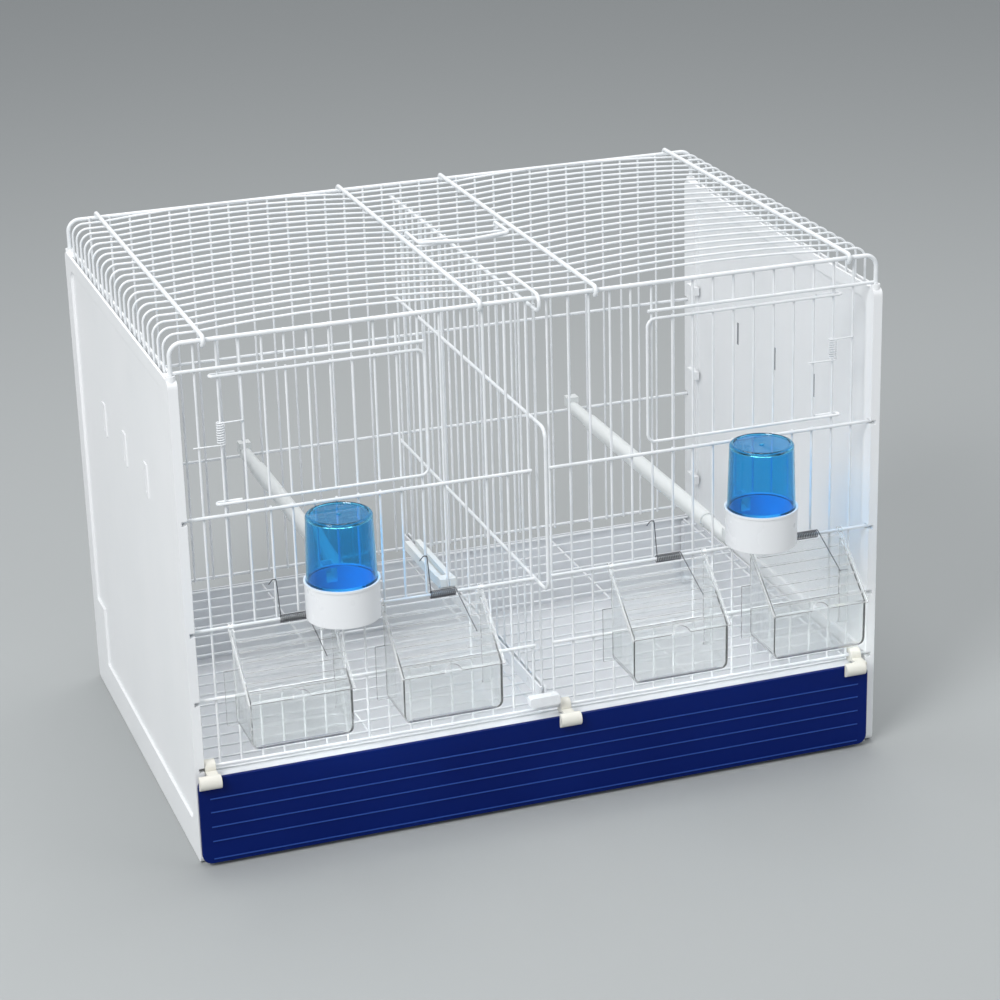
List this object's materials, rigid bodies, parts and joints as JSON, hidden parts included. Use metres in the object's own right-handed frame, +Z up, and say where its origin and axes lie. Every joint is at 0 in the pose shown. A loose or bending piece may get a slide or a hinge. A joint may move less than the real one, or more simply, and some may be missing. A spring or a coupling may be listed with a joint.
{
  "type": "bird breeding cage",
  "caption": "Low wire breeding cage with plastic side panels, sprung front doors, tip-up seed feeders, round drinkers, a slide-in divider, a drawer tray and a fold-flat carry handle.",
  "frame": {"origin": "on the ground under the middle of the whole object's box", "axes": "+X to the right as seen from the front, +Y from front to back, +Z up"},
  "size_m": [0.6, 0.4542, 0.4448],
  "materials": {
    "white_wire": "satin",
    "white_plastic": "satin",
    "blue_plastic": "satin",
    "blue_clear": "gloss",
    "clear_plastic": "gloss",
    "ivory_plastic": "satin",
    "spring_steel": "satin"
  },
  "bodies": {
    "cage": {"side_panel_left": "white_plastic", "side_panel_right": "white_plastic", "front_grille": "white_wire", "back_grille": "white_wire", "roof_grille": "white_wire", "perch_left": "ivory_plastic", "perch_right": "ivory_plastic", "perch_short": "ivory_plastic", "door_spring_left": "white_wire", "door_spring_right": "white_wire", "feeder_spring_1": "spring_steel", "feeder_spring_2": "spring_steel", "feeder_spring_3": "spring_steel", "feeder_spring_4": "spring_steel"},
    "door_left": {"door_left": "white_wire"},
    "door_right": {"door_right": "white_wire"},
    "feeder_lid_1": {"feeder_lid_1": "clear_plastic"},
    "feeder_cup_1": {"feeder_cup_1": "clear_plastic"},
    "feeder_lid_2": {"feeder_lid_2": "clear_plastic"},
    "feeder_cup_2": {"feeder_cup_2": "clear_plastic"},
    "feeder_lid_3": {"feeder_lid_3": "clear_plastic"},
    "feeder_cup_3": {"feeder_cup_3": "clear_plastic"},
    "feeder_lid_4": {"feeder_lid_4": "clear_plastic"},
    "feeder_cup_4": {"feeder_cup_4": "clear_plastic"},
    "drinker_left": {"drinker_cup_left": "white_plastic"},
    "dome_left": {"drinker_dome_left": "blue_clear"},
    "drinker_right": {"drinker_cup_right": "white_plastic"},
    "dome_right": {"drinker_dome_right": "blue_clear"},
    "divider": {"divider_grille": "white_wire", "divider_track": "white_plastic", "divider_foot": "white_plastic"},
    "tray": {"tray": "white_plastic", "tray_front": "blue_plastic", "floor_grille": "white_wire", "tray_clip_left": "ivory_plastic", "tray_clip_middle": "ivory_plastic", "tray_clip_right": "ivory_plastic"},
    "handle": {"carry_handle": "white_wire"}
  },
  "joints": [
    {"name": "door_left_swing", "type": "hinge", "parent": "cage", "child": "door_left", "pos_m": [-0.25916, -0.16265, 0.3556], "axis": [0, 0, -1], "range_deg": [0, 110], "stiffness_Nm_per_rad": 0.01, "springref_deg": -28.65, "deforming": ["door_spring_left"]},
    {"name": "door_right_swing", "type": "hinge", "parent": "cage", "child": "door_right", "pos_m": [0.25916, -0.16265, 0.3556], "axis": [0, 0, 1], "range_deg": [0, 110], "stiffness_Nm_per_rad": 0.01, "springref_deg": -28.65, "deforming": ["door_spring_right"]},
    {"name": "feeder_lid_1_tip", "type": "hinge", "parent": "cage", "child": "feeder_lid_1", "pos_m": [-0.22341, -0.16485, 0.2], "axis": [-1, 0, 0], "range_deg": [0, 38], "stiffness_Nm_per_rad": 0.02, "springref_deg": -49.85, "deforming": ["feeder_spring_1"]},
    {"name": "feeder_cup_1_draw", "type": "slide", "parent": "cage", "child": "feeder_cup_1", "axis": [0, -0.7694, -0.6388], "range_m": [0, 0.08]},
    {"name": "feeder_lid_2_tip", "type": "hinge", "parent": "cage", "child": "feeder_lid_2", "pos_m": [-0.0983, -0.16485, 0.2], "axis": [-1, 0, 0], "range_deg": [0, 100], "stiffness_Nm_per_rad": 0.02, "springref_deg": -49.85, "deforming": ["feeder_spring_2"]},
    {"name": "feeder_cup_2_draw", "type": "slide", "parent": "cage", "child": "feeder_cup_2", "axis": [0, -0.7694, -0.6388], "range_m": [0, 0.08]},
    {"name": "feeder_lid_3_tip", "type": "hinge", "parent": "cage", "child": "feeder_lid_3", "pos_m": [0.0983, -0.16485, 0.2], "axis": [-1, 0, 0], "range_deg": [0, 100], "stiffness_Nm_per_rad": 0.02, "springref_deg": -49.85, "deforming": ["feeder_spring_3"]},
    {"name": "feeder_cup_3_draw", "type": "slide", "parent": "cage", "child": "feeder_cup_3", "axis": [0, -0.7694, -0.6388], "range_m": [0, 0.08]},
    {"name": "feeder_lid_4_tip", "type": "hinge", "parent": "cage", "child": "feeder_lid_4", "pos_m": [0.22341, -0.16485, 0.2], "axis": [-1, 0, 0], "range_deg": [0, 38], "stiffness_Nm_per_rad": 0.02, "springref_deg": -49.85, "deforming": ["feeder_spring_4"]},
    {"name": "feeder_cup_4_draw", "type": "slide", "parent": "cage", "child": "feeder_cup_4", "axis": [0, -0.7694, -0.6388], "range_m": [0, 0.08]},
    {"name": "drinker_left_unhook", "type": "slide", "parent": "cage", "child": "drinker_left", "axis": [0, -1, 0], "range_m": [0, 0.08]},
    {"name": "dome_left_lift", "type": "slide", "parent": "drinker_left", "child": "dome_left", "axis": [0, 0, 1], "range_m": [0, 0.09]},
    {"name": "drinker_right_unhook", "type": "slide", "parent": "cage", "child": "drinker_right", "axis": [0, -1, 0], "range_m": [0, 0.08]},
    {"name": "dome_right_lift", "type": "slide", "parent": "drinker_right", "child": "dome_right", "axis": [0, 0, 1], "range_m": [0, 0.09]},
    {"name": "divider_draw", "type": "slide", "parent": "cage", "child": "divider", "axis": [0, -1, 0], "range_m": [0, 0.42]},
    {"name": "tray_draw", "type": "slide", "parent": "cage", "child": "tray", "axis": [0, -1, 0], "range_m": [0, 0.55]},
    {"name": "handle_tip", "type": "hinge", "parent": "cage", "child": "handle", "pos_m": [0, 0.0455, 0.43915], "axis": [-1, 0, 0], "range_deg": [0, 160]}
  ]
}
